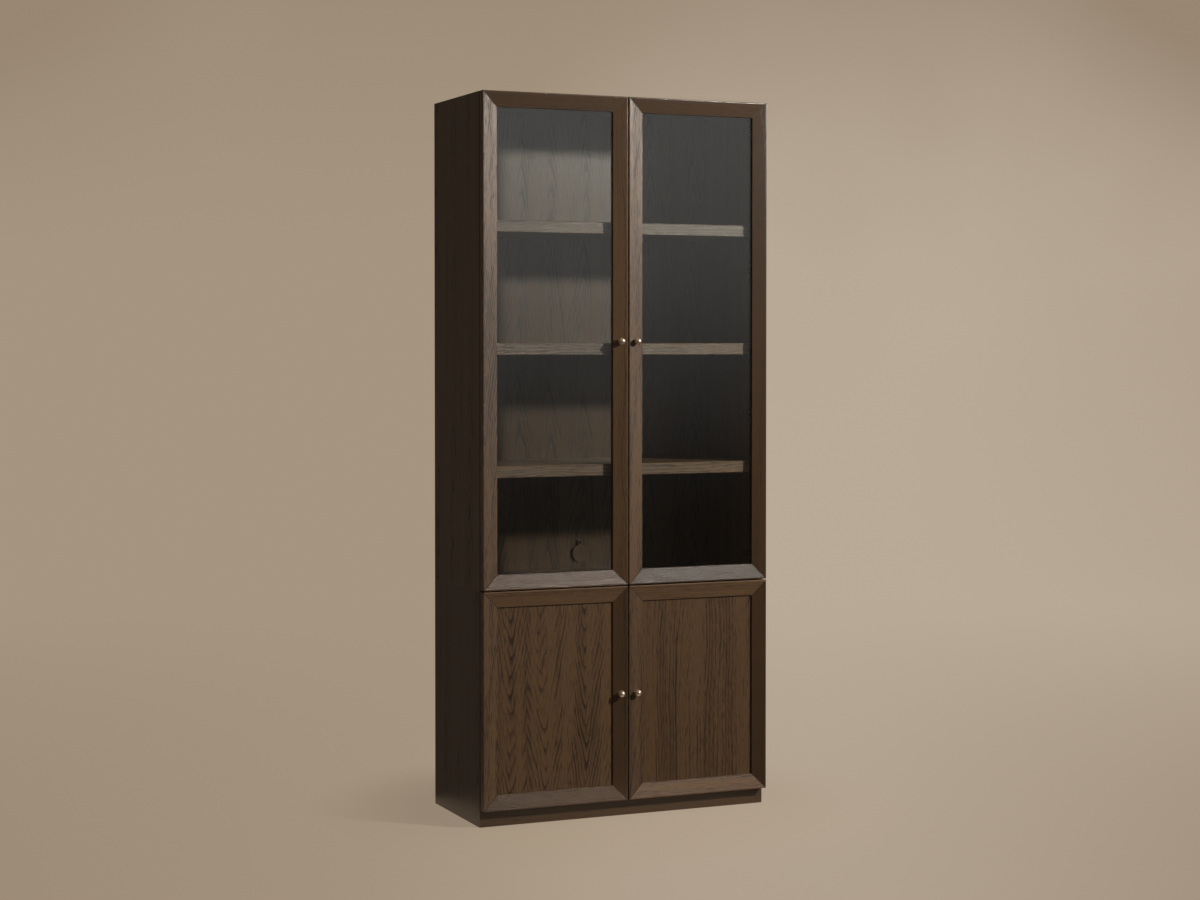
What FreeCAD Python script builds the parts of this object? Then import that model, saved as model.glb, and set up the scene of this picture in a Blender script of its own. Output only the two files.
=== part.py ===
import FreeCAD, Part
import os
import Sketcher
from FreeCAD import Placement, Rotation, Vector

# A tall two-part display cabinet in dark oak. A low base with two panelled doors stands on a
# plinth, and a deeper-windowed upper case with two glazed doors stands on the base.
# Frame: X to the right, the doors face -Y, Z up. X = 0 is the middle of the cabinet, Z = 0 the
# floor, and Y = 0 lies halfway between the tips of the knobs and the back of the case.
# The cabinet is the same on both sides of X = 0, so each right-hand piece is a mirror image.

doc = FreeCAD.newDocument("display_cabinet")

# ---------------------------------------------------------------- driving sizes, in millimetres

SIZES = (
    ("overall_height", 2350, "floor to the top of the case"),
    ("seam_height", 758, "floor to the joint between base and upper case"),
    ("case_width", 1014, "outside of one side panel to the outside of the other"),
    ("case_depth", 426, "front edge of the side panels to their back edge"),
    ("side_thickness", 28, "side panels"),
    ("deck_thickness", 20, "top and bottom boards of both cases"),
    ("back_thickness", 12, "back panels"),
    ("back_inset", 38, "back edge of the sides to the back panel behind it"),
    ("groove_depth", 8, "grooves that hold the back panels"),
    ("groove_play", 0.5, "back panel edge to the bottom of its groove"),
    ("arris", 1.5, "eased edges of the sides, shelves and doors"),
    ("plinth_height", 55, "floor to the underside of the base case"),
    ("plinth_thickness", 20, "boards of the plinth"),
    ("door_thickness", 30, "outer edge of the door frames"),
    ("door_gap", 4, "back of the doors to the front of the case"),
    ("door_reveal", 1, "outer edge of a door inside the outside of the case"),
    ("meeting_gap", 4, "between the two doors of a pair, and between upper and lower doors"),
    ("frame_width", 50, "stiles and rails"),
    ("frame_band", 4, "flat band along the outer edge of a frame"),
    ("frame_recess", 8, "drop of the bevelled face from the band to the inner edge"),
    ("frame_lip", 6, "inner edge of the bevel back to the glass or panel"),
    ("rebate_width", 10, "rebate or groove that holds the glass or panel"),
    ("glass_thickness", 5, "tempered glass"),
    ("bead_bevel", 3, "bevel of the glass beads"),
    ("edge_play", 1, "edge of the glass or panel to the bottom of its rebate or groove"),
    ("door_panel_thickness", 10, "flat panel of a lower door"),
    ("shelf_thickness", 38, "shelves of the upper case"),
    ("shelf_setback", 1, "front of the case to the front edge of a shelf"),
    ("shelf_side_play", 1, "end of a shelf to the side panel"),
    ("shelf_back_play", 2, "back edge of a shelf to the back panel"),
    ("shelf_low_rise", 397, "seam to the top of the lowest glazed shelf"),
    ("shelf_pitch", 394, "from the top of one shelf to the top of the next"),
    ("base_shelf_thickness", 20, "shelf behind the lower doors"),
    ("base_shelf_rise", 347, "plinth to the top of the shelf behind the lower doors"),
    ("pin_radius", 2.5, "shank of a shelf pin"),
    ("pin_shank", 9, "shank of a shelf pin inside the side panel"),
    ("pin_play", 0.05, "shank of a pin or bolt to the wall of its hole"),
    ("pin_width", 10, "bracket of a shelf pin, front to back"),
    ("pin_reach", 9, "bracket of a shelf pin under the shelf"),
    ("pin_drop", 9, "bracket of a shelf pin down the side panel"),
    ("pin_sheet", 1.5, "thickness of the bracket of a shelf pin"),
    ("pin_margin", 55, "front or back edge of a shelf to the nearest pin"),
    ("bolt_radius", 4, "bolts that join the two cases"),
    ("bolt_head_radius", 8, "heads and nuts of those bolts"),
    ("bolt_head_height", 2.5, "heads and nuts of those bolts"),
    ("bolt_margin", 60, "side panel, or front of the case, to the nearest bolt"),
    ("rail_height", 70, "wall rail behind the back panel"),
    ("wall_hole_radius", 3, "holes for the screws into the wall"),
    ("wall_hole_spacing", 600, "from one wall screw to the other"),
    ("port_rise", 72, "seam to the middle of the cable port"),
    ("port_radius", 25, "hole of the cable port"),
    ("cover_radius", 29.5, "round leaf of the cover that hangs over the port"),
    ("cover_thickness", 8, "cover of the cable port"),
    ("cover_drop", 38, "pivot of the cover to the middle of the port"),
    ("cover_ear_radius", 9.5, "ear of the cover round its pivot"),
    ("cover_gap", 0.3, "cover to the back panel, and to the head of its screw"),
    ("cover_screw_radius", 2.1, "screw that the cover hangs on"),
    ("cover_screw_play", 0.08, "that screw to the hole in the cover"),
    ("cover_screw_depth", 10, "that screw inside the back panel"),
    ("cover_screw_head", 4.5, "radius of the head of that screw"),
    ("cover_screw_rise", 2.2, "height of the head of that screw"),
    ("knob_radius", 11, "ball of a knob"),
    ("knob_stand", 22, "tip of a knob in front of the door"),
    ("knob_inset", 27, "meeting edge of a door to the middle of its knob"),
    ("knob_seat_radius", 7, "flat seat that is cut into the bevel for a knob"),
    ("knob_seat_depth", 5.2, "that seat behind the front of the door"),
    ("knob_foot_radius", 6.6, "foot of a knob"),
    ("knob_foot_height", 2.4, "foot of a knob"),
    ("knob_neck_radius", 4.2, "neck of a knob"),
    ("knob_stud_radius", 2, "threaded stud of a knob"),
    ("knob_stud_length", 18, "threaded stud of a knob"),
    ("hinge_end_distance", 83, "top or bottom of a door to the nearest hinge"),
    ("axis_inset", 12, "outer edge of a door to the line that it turns on"),
    ("axis_forward", 18, "back of a door forward to the line that it turns on"),
    ("cup_inset", 21.5, "outer edge of a door to the middle of a hinge cup"),
    ("cup_radius", 17.4, "outside of a hinge cup"),
    ("cup_depth", 14.4, "back of the door to the outside of the cup's floor"),
    ("cup_sheet", 0.9, "pressed steel of a hinge cup"),
    ("cup_play", 0.1, "hinge cup to the bore in the door"),
    ("cup_flange", 1, "thickness of the flange of a hinge cup"),
    ("cup_wing", 27, "middle of a hinge cup to the end of its flange"),
    ("link_bore_x", 12.3, "outer edge of a door to the pin in the cup"),
    ("link_bore_y", 7.6, "back of the door forward to the pin in the cup"),
    ("link_elbow_x", 21.4, "outer edge of a door to the elbow of a hinge link"),
    ("link_elbow_y", 12.6, "back of the door forward to the elbow of a hinge link"),
    ("link_bend", 4.6, "radius of the elbow of a hinge link"),
    ("link_sheet", 2, "thickness of a hinge link"),
    ("link_width", 8, "height of a hinge link"),
    ("link_pin_radius", 1.5, "rivets that a hinge link turns on"),
    ("link_eye", 2.6, "radius of the eye of a hinge link"),
    ("link_play", 0.06, "eye of a hinge link to its rivet"),
    ("link_pin_length", 13, "rivet at the cup end of a hinge link"),
    ("pivot_off_side", 6.7, "inner face of a side panel to the rivet in the hinge arm"),
    ("pivot_back", 8.2, "back of the door to the rivet in the hinge arm"),
    ("arm_width", 14, "height of a hinge arm"),
    ("arm_sheet", 1.2, "pressed steel of a hinge arm"),
    ("arm_top", 11.2, "inner face of a side panel to the outside of a hinge arm"),
    ("arm_foot", 2.6, "inner face of a side panel to the open edge of a hinge arm"),
    ("arm_reach", 65, "front of the case to the back end of a hinge arm"),
    ("plate_sheet", 1.6, "wings of a mounting plate"),
    ("plate_wing", 26, "middle of a mounting plate to the end of a wing"),
    ("plate_width", 16, "wings of a mounting plate, front to back"),
    ("plate_line", 37, "front of the case to the screws of a mounting plate"),
    ("plate_play", 0.3, "body of a mounting plate to the cheeks of the arm"),
    ("plate_body_front", 20, "front of the case to the body of a mounting plate"),
    ("plate_body_back", 57, "front of the case to the back end of that body"),
    ("bumper_radius", 4, "soft bumpers between door and case"),
    ("bumper_gap", 0.3, "bumper to the back of a closed door"),
    ("bumper_margin", 20, "middle of the cabinet to a bumper"),
)

# Places that follow from the sizes.
PLACES = (
    ("inner_half", "=Sizes.case_width / 2 - Sizes.side_thickness"),
    ("total_depth", "=Sizes.case_depth + Sizes.door_gap + Sizes.door_thickness + Sizes.knob_stand"),
    ("case_back", "=total_depth / 2"),
    ("case_front", "=case_back - Sizes.case_depth"),
    ("door_back", "=case_front - Sizes.door_gap"),
    ("door_front", "=door_back - Sizes.door_thickness"),
    ("panel_back", "=case_back - Sizes.back_inset"),
    ("panel_front", "=panel_back - Sizes.back_thickness"),
    ("bay_depth", "=panel_front - case_front"),
    ("base_height", "=Sizes.seam_height - Sizes.plinth_height"),
    ("upper_height", "=Sizes.overall_height - Sizes.seam_height"),
    ("door_edge", "=Sizes.door_reveal - Sizes.case_width / 2"),
    ("door_width", "=-door_edge - Sizes.meeting_gap / 2"),
    ("lower_door_bottom", "=Sizes.plinth_height"),
    ("lower_door_height", "=Sizes.seam_height - Sizes.meeting_gap / 2 - lower_door_bottom"),
    ("upper_door_bottom", "=Sizes.seam_height + Sizes.meeting_gap / 2"),
    ("upper_door_height", "=Sizes.overall_height - upper_door_bottom"),
    ("infill_front", "=Sizes.frame_recess + Sizes.frame_lip"),
    ("bead_front", "=infill_front + Sizes.glass_thickness"),
    ("rebate_edge", "=Sizes.frame_width - Sizes.rebate_width"),
    ("infill_edge", "=rebate_edge + Sizes.edge_play"),
    ("side_face", "=Sizes.side_thickness - Sizes.door_reveal"),
    ("pivot_x", "=side_face + Sizes.pivot_off_side"),
    ("port_height", "=Sizes.seam_height + Sizes.port_rise"),
    ("cover_pivot_height", "=port_height + Sizes.cover_drop"),
    ("wall_hole_height", "=Sizes.overall_height - Sizes.deck_thickness - Sizes.rail_height / 2"),
    ("shelf_depth", "=bay_depth - Sizes.shelf_setback - Sizes.shelf_back_play"),
    ("base_shelf_top", "=Sizes.plinth_height + Sizes.base_shelf_rise"),
    ("shelf_low_top", "=Sizes.seam_height + Sizes.shelf_low_rise"),
    ("shelf_middle_top", "=shelf_low_top + Sizes.shelf_pitch"),
    ("shelf_high_top", "=shelf_middle_top + Sizes.shelf_pitch"),
)

OVERCUT = "5"       # how far a cutting outline runs past the wood that it cuts
SHELVES = ("shelf_low", "shelf_middle", "shelf_high")
UPPER_HINGES = 4
LOWER_HINGES = 2


def fill_sheet(name, rows):
    """A spreadsheet with one named cell in column B for each row, and its note beside it."""
    sheet = doc.addObject("Spreadsheet::Sheet", name)
    for number, (alias, content, *note) in enumerate(rows, start=1):
        sheet.set(f"A{number}", alias)
        sheet.set(f"B{number}", str(content))
        sheet.setAlias(f"B{number}", alias)
        sheet.set(f"C{number}", "".join(note))
    doc.recompute()
    return sheet


sizes = fill_sheet("Sizes", SIZES)
places = fill_sheet("Places", PLACES)

# ---------------------------------------------------------------- sketches and features

parts = {}          # node name -> the object whose shape is that piece


def place(piece, x="0", y="0", z="0"):
    """Binds the position of an object to three expressions."""
    for axis, expression in zip("xyz", (x, y, z)):
        piece.setExpression(f"Placement.Base.{axis}", expression)


def new_body(name, x="0", y="0", z="0", turn=0):
    """A body at x, y, z, turned about the Y axis by so many degrees."""
    body = doc.addObject("PartDesign::Body", name)
    body.Placement = Placement(Vector(), Rotation(Vector(0, 1, 0), turn))
    place(body, x, y, z)
    return body


def new_sketch(body, role, offset="0", shift="0"):
    """A sketch on an origin plane of its body, moved along its normal and its first axis."""
    plane = next(p for p in body.Origin.OriginFeatures if p.Role == role)
    sketch = body.newObject("Sketcher::SketchObject", body.Name + "_sketch")
    sketch.AttachmentSupport = [(plane, "")]
    sketch.MapMode = "FlatFace"
    sketch.setExpression("AttachmentOffset.Base.z", offset)
    sketch.setExpression("AttachmentOffset.Base.x", shift)
    return sketch


def hold(sketch, kind, *where, at):
    """A dimension of the sketch that follows an expression."""
    value = float(sketch.evalExpression(at))
    index = sketch.addConstraint(Sketcher.Constraint(kind, *where, value))
    sketch.setExpression(f"Constraints[{index}]", at)


def outline(sketch, corners):
    """A closed outline of straight lines through corners that are given as expressions."""
    spots = [Vector(*(float(sketch.evalExpression(c)) for c in corner), 0) for corner in corners]
    first = sketch.GeometryCount
    for start, end in zip(spots, spots[1:] + spots[:1]):
        sketch.addGeometry(Part.LineSegment(start, end))
    last = sketch.GeometryCount - 1
    for line in range(first, last + 1):
        following = line + 1 if line < last else first
        sketch.addConstraint(Sketcher.Constraint("Coincident", line, 2, following, 1))
    for line, (x, y) in enumerate(corners, start=first):
        hold(sketch, "DistanceX", -1, 1, line, 1, at=x)
        hold(sketch, "DistanceY", -1, 1, line, 1, at=y)


def rectangle(sketch, x0, x1, y0, y1):
    outline(sketch, ((x0, y0), (x1, y0), (x1, y1), (x0, y1)))


def circle(sketch, x, y, radius):
    """A circle whose middle and radius are given as expressions."""
    middle = Vector(float(sketch.evalExpression(x)), float(sketch.evalExpression(y)), 0)
    size = float(sketch.evalExpression(radius))
    ring = sketch.addGeometry(Part.Circle(middle, Vector(0, 0, 1), size))
    hold(sketch, "DistanceX", -1, 1, ring, 3, at=x)
    hold(sketch, "DistanceY", -1, 1, ring, 3, at=y)
    hold(sketch, "Radius", ring, at=radius)


def add(body, kind, sketch, length=None, both_ways=False, turned=False):
    """A pad, or a pocket of a given length or right through, from a sketch of the body."""
    feature = body.newObject("PartDesign::" + kind, body.Name + "_" + kind.lower())
    feature.Profile = sketch
    feature.Midplane = both_ways
    feature.Reversed = turned
    if length is None:
        feature.Type = "ThroughAll"
    else:
        feature.setExpression("Length", length)
    return feature


def revolve(body, sketch):
    """A full turn of the sketch about its own vertical axis."""
    feature = body.newObject("PartDesign::Revolution", body.Name + "_revolution")
    feature.Profile = sketch
    feature.ReferenceAxis = (sketch, ["V_Axis"])
    feature.Angle = 360
    return feature


def mirrored(piece, name):
    """The mirror image of a piece in the middle plane of the cabinet."""
    image = doc.addObject("Part::Mirroring", name)
    image.Source = piece
    image.Normal = Vector(1, 0, 0)
    return image


def both_sides(left_name):
    """Adds the right-hand twin of a left-hand piece."""
    right_name = left_name.replace("left", "right")
    parts[right_name] = mirrored(parts[left_name], right_name)


def group(name, pieces):
    """One node that holds several separate solids."""
    parts[name] = doc.addObject("Part::Compound", name)
    parts[name].Links = pieces


def copies(piece, spots):
    """Copies of a piece at places that are given as expressions."""
    links = []
    for spot in spots:
        link = doc.addObject("App::Link", piece.Name + "_copy")
        link.LinkedObject = piece
        link.LinkTransform = False
        place(link, *spot)
        links.append(link)
    return links


# ---------------------------------------------------------------- plinth

def plinth():
    """Four boards on edge, flush with the case above, mitred together at the front corners."""
    half, thick = "Sizes.case_width / 2", "Sizes.plinth_thickness"
    front = new_body("plinth_front", y="Places.case_front")
    sketch = new_sketch(front, "XY_Plane")
    outline(sketch, ((f"-{half}", "0"), (half, "0"),
                     (f"{half} - {thick}", thick), (f"{thick} - {half}", thick)))
    add(front, "Pad", sketch, "Sizes.plinth_height")

    side = new_body("plinth_side_left", x=f"-{half}", y="Places.case_front")
    sketch = new_sketch(side, "XY_Plane")
    outline(sketch, (("0", "0"), (thick, thick), (thick, "Sizes.case_depth"),
                     ("0", "Sizes.case_depth")))
    add(side, "Pad", sketch, "Sizes.plinth_height")

    back = doc.addObject("Part::Box", "plinth_back")
    back.setExpression("Length", f"Sizes.case_width - 2 * {thick}")
    back.setExpression("Width", thick)
    back.setExpression("Height", "Sizes.plinth_height")
    place(back, x=f"{thick} - {half}", y=f"Places.case_back - {thick}")

    parts.update(plinth_front=front, plinth_side_left=side, plinth_back=back)
    both_sides("plinth_side_left")


# ---------------------------------------------------------------- the two cases

def pin_rows():
    """Distances of the front and back rows of shelf pins behind the front of the case."""
    front = "Sizes.shelf_setback + Sizes.pin_margin"
    back = "Sizes.shelf_setback + Places.shelf_depth - Sizes.pin_margin"
    return front, back


def shelf_undersides():
    """Heights of the undersides of the shelves above the floor, for the base and the upper case."""
    base = ["Places.base_shelf_top - Sizes.base_shelf_thickness"]
    upper = [f"Places.{name}_top - Sizes.shelf_thickness" for name in SHELVES]
    return base, upper


def case_side(name, bottom, height, undersides):
    """A side panel: eased at the front, grooved for the back panel, bored for the shelf pins."""
    side = new_body(name, x="-Sizes.case_width / 2", y="Places.case_front", z=bottom)
    thick, ease = "Sizes.side_thickness", "Sizes.arris"
    sketch = new_sketch(side, "XY_Plane")
    outline(sketch, ((ease, "0"), (f"{thick} - {ease}", "0"), (thick, ease),
                     (thick, "Sizes.case_depth"), ("0", "Sizes.case_depth"), ("0", ease)))
    add(side, "Pad", sketch, height)

    start = "Sizes.deck_thickness - Sizes.groove_depth"
    sketch = new_sketch(side, "XY_Plane", offset=start)
    rectangle(sketch, f"{thick} - Sizes.groove_depth", f"{thick} + {OVERCUT}",
              "Places.bay_depth", "Places.bay_depth + Sizes.back_thickness")
    add(side, "Pocket", sketch, f"{height} - 2 * ({start})", turned=True)

    sketch = new_sketch(side, "YZ_Plane", offset=f"{thick} - Sizes.pin_shank - Sizes.groove_play")
    for underside in undersides:
        for row in pin_rows():
            circle(sketch, row, f"{underside} - Sizes.pin_drop / 2 - ({bottom})",
                   "Sizes.pin_radius + Sizes.pin_play")
    add(side, "Pocket", sketch, turned=True)
    parts[name] = side
    both_sides(name)


def deck(name, height, groove_up, bolted):
    """A top or bottom board between the sides, grooved for the back panel on its inner face."""
    board = new_body(name, y="Places.case_front", z=height)
    depth, thick = "Sizes.case_depth", "Sizes.deck_thickness"
    near, far = "Places.bay_depth", "Places.bay_depth + Sizes.back_thickness"
    inner, outer = (thick, "0") if groove_up else ("0", thick)
    floor = f"{thick} - Sizes.groove_depth" if groove_up else "Sizes.groove_depth"
    sketch = new_sketch(board, "YZ_Plane")
    outline(sketch, (("0", outer), (depth, outer), (depth, inner), (far, inner),
                     (far, floor), (near, floor), (near, inner), ("0", inner)))
    add(board, "Pad", sketch, "2 * Places.inner_half", both_ways=True)
    if bolted:
        sketch = new_sketch(board, "XY_Plane")
        for x, y in bolt_spots():
            circle(sketch, x, y, "Sizes.bolt_radius + Sizes.pin_play")
        add(board, "Pocket", sketch, turned=True)
    parts[name] = board


def bolt_spots():
    """Places of the joining bolts, from the middle and the front of the case."""
    side = "Places.inner_half - Sizes.bolt_margin"
    rows = ("Sizes.bolt_margin", "Places.bay_depth - Sizes.bolt_margin")
    return [(x, y) for x in (f"-({side})", side) for y in rows]


def back_panel(name, bottom, height):
    """A back panel, held in grooves on all four edges."""
    panel = new_body(name, y="Places.panel_front", z=bottom)
    grip = "(Sizes.groove_depth - Sizes.groove_play)"
    half = f"Places.inner_half + {grip}"
    rise = f"Sizes.deck_thickness - {grip}"
    sketch = new_sketch(panel, "XZ_Plane")
    rectangle(sketch, f"-({half})", half, rise, f"{height} - ({rise})")
    add(panel, "Pad", sketch, "Sizes.back_thickness", turned=True)
    parts[name] = panel
    return panel


def wall_holes(body, bottom):
    """The two screw holes that tie the cabinet to a wall, right through a board."""
    sketch = new_sketch(body, "XZ_Plane")
    for side in ("-", ""):
        circle(sketch, f"{side}Sizes.wall_hole_spacing / 2",
               f"Places.wall_hole_height - ({bottom})", "Sizes.wall_hole_radius")
    add(body, "Pocket", sketch)


def upper_back():
    """The upper back panel, with its cable port, the hole of the cover's screw and wall holes."""
    panel = back_panel("upper_back", "Sizes.seam_height", "Places.upper_height")
    wall_holes(panel, "Sizes.seam_height")
    sketch = new_sketch(panel, "XZ_Plane")
    circle(sketch, "0", "Sizes.port_rise", "Sizes.port_radius")
    add(panel, "Pocket", sketch)
    sketch = new_sketch(panel, "XZ_Plane")
    circle(sketch, "0", "Places.cover_pivot_height - Sizes.seam_height",
           "Sizes.cover_screw_radius + Sizes.pin_play")
    add(panel, "Pocket", sketch, "Sizes.cover_screw_depth + Sizes.groove_play")


def wall_rail():
    """A rail that fills the space behind the back panel, under the top board, and is screwed to
    the wall."""
    bottom = "Sizes.overall_height - Sizes.deck_thickness - Sizes.rail_height"
    rail = new_body("wall_rail", y="Places.panel_back", z=bottom)
    sketch = new_sketch(rail, "XZ_Plane")
    rectangle(sketch, "-Places.inner_half", "Places.inner_half", "0", "Sizes.rail_height")
    add(rail, "Pad", sketch, "Sizes.back_inset", turned=True)
    wall_holes(rail, bottom)
    parts["wall_rail"] = rail


def shelf(name, thick):
    """A full-width shelf with eased front edges, on four pins."""
    board = new_body(name, y="Places.case_front + Sizes.shelf_setback",
                     z=f"Places.{name}_top - {thick}")
    ease, depth = "Sizes.arris", "Places.shelf_depth"
    sketch = new_sketch(board, "YZ_Plane")
    outline(sketch, ((ease, "0"), (depth, "0"), (depth, thick), (ease, thick),
                     ("0", f"{thick} - {ease}"), ("0", ease)))
    add(board, "Pad", sketch, "2 * (Places.inner_half - Sizes.shelf_side_play)", both_ways=True)
    parts[name] = board


def shelf_pins():
    """Bracket pins: a round shank in the side panel, and an L of sheet steel under the shelf."""
    pin = new_body("shelf_pin")
    sheet, drop = "Sizes.pin_sheet", "Sizes.pin_drop"
    sketch = new_sketch(pin, "XZ_Plane")
    outline(sketch, (("0", "0"), ("Sizes.pin_reach", "0"), ("Sizes.pin_reach", f"-{sheet}"),
                     (sheet, f"-{sheet}"), (sheet, f"-{drop}"), ("0", f"-{drop}")))
    add(pin, "Pad", sketch, "Sizes.pin_width", both_ways=True)
    sketch = new_sketch(pin, "YZ_Plane")
    circle(sketch, "0", f"-{drop} / 2", "Sizes.pin_radius")
    add(pin, "Pad", sketch, "Sizes.pin_shank", turned=True)

    base, upper = shelf_undersides()
    spots = [("-Places.inner_half", f"Places.case_front + {row}", underside)
             for underside in base + upper for row in pin_rows()]
    left = doc.addObject("Part::Compound", "left_shelf_pins")
    left.Links = copies(pin, spots)
    group("shelf_pins", [left, mirrored(left, "right_shelf_pins")])


def connector_bolts():
    """Four bolts through the two boards at the seam, with a flat head above and a nut below."""
    bolt = new_body("connector_bolt")
    shank, head = "Sizes.bolt_radius", "Sizes.bolt_head_radius"
    deep, rise = "Sizes.deck_thickness", "Sizes.bolt_head_height"
    sketch = new_sketch(bolt, "XZ_Plane")
    outline(sketch, (("0", f"-{deep} - {rise}"), (head, f"-{deep} - {rise}"), (head, f"-{deep}"),
                     (shank, f"-{deep}"), (shank, deep), (head, deep),
                     (head, f"{deep} + {rise}"), ("0", f"{deep} + {rise}")))
    revolve(bolt, sketch)
    group("connector_bolts", copies(bolt, [(x, f"Places.case_front + {y}", "Sizes.seam_height")
                                           for x, y in bolt_spots()]))


def cable_cover():
    """A round wooden leaf that hangs from a screw by its ear and swings clear of the cable port."""
    cover = new_body("cable_cover", y="Places.panel_front - Sizes.cover_gap",
                     z="Places.cover_pivot_height")
    thick = "Sizes.cover_thickness"
    sketch = new_sketch(cover, "XZ_Plane")
    circle(sketch, "0", "-Sizes.cover_drop", "Sizes.cover_radius")
    add(cover, "Pad", sketch, thick)
    sketch = new_sketch(cover, "XZ_Plane")
    circle(sketch, "0", "0", "Sizes.cover_ear_radius")
    add(cover, "Pad", sketch, thick)
    sketch = new_sketch(cover, "XZ_Plane")
    neck = "Sizes.cover_ear_radius * 0.8"
    rectangle(sketch, f"-{neck}", neck, "-Sizes.cover_drop", "0")
    add(cover, "Pad", sketch, thick)
    sketch = new_sketch(cover, "XZ_Plane")
    circle(sketch, "0", "0", "Sizes.cover_screw_radius + Sizes.cover_screw_play")
    add(cover, "Pocket", sketch, both_ways=True)
    parts["cable_cover"] = cover

    screw = new_body("cable_cover_screw", y="Places.panel_front", z="Places.cover_pivot_height")
    shank, head, deep = "Sizes.cover_screw_radius", "Sizes.cover_screw_head", "Sizes.cover_screw_depth"
    under = f"{thick} + 2 * Sizes.cover_gap"
    sketch = new_sketch(screw, "XY_Plane")
    outline(sketch, (("0", deep), (shank, deep), (shank, f"-({under})"), (head, f"-({under})"),
                     (head, f"-({under} + Sizes.cover_screw_rise / 2)"),
                     (shank, f"-({under} + Sizes.cover_screw_rise)"),
                     ("0", f"-({under} + Sizes.cover_screw_rise)")))
    revolve(screw, sketch)
    parts["cable_cover_screw"] = screw


def bumpers():
    """Soft round bumpers on the front edges of the boards, where the doors meet them."""
    reach = "Sizes.door_gap - Sizes.bumper_gap"
    heights = ["Sizes.plinth_height + Sizes.deck_thickness / 2",
               "Sizes.seam_height - Sizes.deck_thickness / 2",
               "Sizes.seam_height + Sizes.deck_thickness / 2",
               "Sizes.overall_height - Sizes.deck_thickness / 2"]
    dots = []
    for height in heights:
        for side in ("-", ""):
            dot = doc.addObject("Part::Cylinder", "bumper")
            dot.setExpression("Radius", "Sizes.bumper_radius")
            dot.setExpression("Height", reach)
            dot.Placement = Placement(Vector(), Rotation(Vector(1, 0, 0), 90))
            place(dot, f"{side}Sizes.bumper_margin", "Places.case_front", height)
            dots.append(dot)
    group("door_bumpers", dots)


# ---------------------------------------------------------------- doors

def frame_outline(grooved):
    """Section of a stile or rail: distance in from its outer edge, and depth behind its front.

    The face has a flat band and then slopes back to the inner edge. A glazed door is rebated
    from behind; a panelled door is grooved, so its section has a second lip behind the groove.
    """
    wide, deep, ease = "Sizes.frame_width", "Sizes.door_thickness", "Sizes.arris"
    seat, bed = "Places.rebate_edge", "Places.infill_front"
    front = [("0", ease), (ease, "0"), ("Sizes.frame_band", "0"), (wide, "Sizes.frame_recess"),
             (wide, bed), (seat, bed)]
    if grooved:
        back = [(seat, f"{bed} + Sizes.door_panel_thickness"),
                (wide, f"{bed} + Sizes.door_panel_thickness"), (wide, deep)]
    else:
        back = [(seat, deep)]
    return front + back + [(ease, deep), ("0", f"{deep} - {ease}")]


def frame_member(name, section, length, x, z, turn):
    """A mitred member. Its outer edge runs up local Z, and it is turned into its place."""
    member = new_body(name, x, "Places.door_front", z, turn)
    sketch = new_sketch(member, "XY_Plane")
    outline(sketch, section)
    add(member, "Pad", sketch, length)
    wide = f"Sizes.frame_width + {OVERCUT}"
    sketch = new_sketch(member, "XZ_Plane")
    outline(sketch, ((f"-{OVERCUT}", f"-{OVERCUT}"), (wide, f"-{OVERCUT}"), (wide, wide)))
    outline(sketch, ((f"-{OVERCUT}", f"{length} + {OVERCUT}"), (wide, f"{length} - ({wide})"),
                     (wide, f"{length} + {OVERCUT}")))
    add(member, "Pocket", sketch)
    return member


def door_ring(prefix, section, bottom, height):
    """The two stiles and two rails, or the four beads, of a left-hand door."""
    left, right, top = "Places.door_edge", "-Sizes.meeting_gap / 2", f"{bottom} + {height}"
    wide = "Places.door_width"
    return {"hinge_stile": frame_member(prefix + "_hinge_stile", section, height, left, bottom, 0),
            "meeting_stile": frame_member(prefix + "_meeting_stile", section, height, right, top, 180),
            "top_rail": frame_member(prefix + "_top_rail", section, wide, left, top, 90),
            "bottom_rail": frame_member(prefix + "_bottom_rail", section, wide, right, bottom, -90)}


def hinge_heights(height, count):
    """Heights of a door's hinges above its bottom edge, evenly spaced between the end ones."""
    end = "Sizes.hinge_end_distance"
    return [f"{end} + {step} * ({height} - 2 * {end}) / {count - 1}" for step in range(count)]


def bore_hinge_stile(stile, height, count):
    """Round bores for the hinge cups, from the back of the stile."""
    floor = "Sizes.door_thickness - Sizes.cup_depth - Sizes.cup_play"
    sketch = new_sketch(stile, "XZ_Plane", offset=f"-({floor})")
    for spot in hinge_heights(height, count):
        circle(sketch, "Sizes.cup_inset", spot, "Sizes.cup_radius + Sizes.cup_play")
    add(stile, "Pocket", sketch)


def bore_meeting_stile(stile, height):
    """A flat seat in the bevel for the foot of the knob, and a hole for its stud."""
    for radius, depth in (("Sizes.knob_seat_radius", "Sizes.knob_seat_depth"),
                          ("Sizes.knob_stud_radius + Sizes.pin_play", None)):
        sketch = new_sketch(stile, "XZ_Plane")
        circle(sketch, "Sizes.knob_inset", f"{height} / 2", radius)
        add(stile, "Pocket", sketch, depth)


def infill(name, bottom, height, thickness):
    """The glass or the flat panel of a door."""
    sheet = doc.addObject("Part::Box", name)
    sheet.setExpression("Length", "Places.door_width - 2 * Places.infill_edge")
    sheet.setExpression("Width", thickness)
    sheet.setExpression("Height", f"{height} - 2 * Places.infill_edge")
    place(sheet, "Places.door_edge + Places.infill_edge", "Places.door_front + Places.infill_front",
          f"{bottom} + Places.infill_edge")
    parts[name] = sheet


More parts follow.
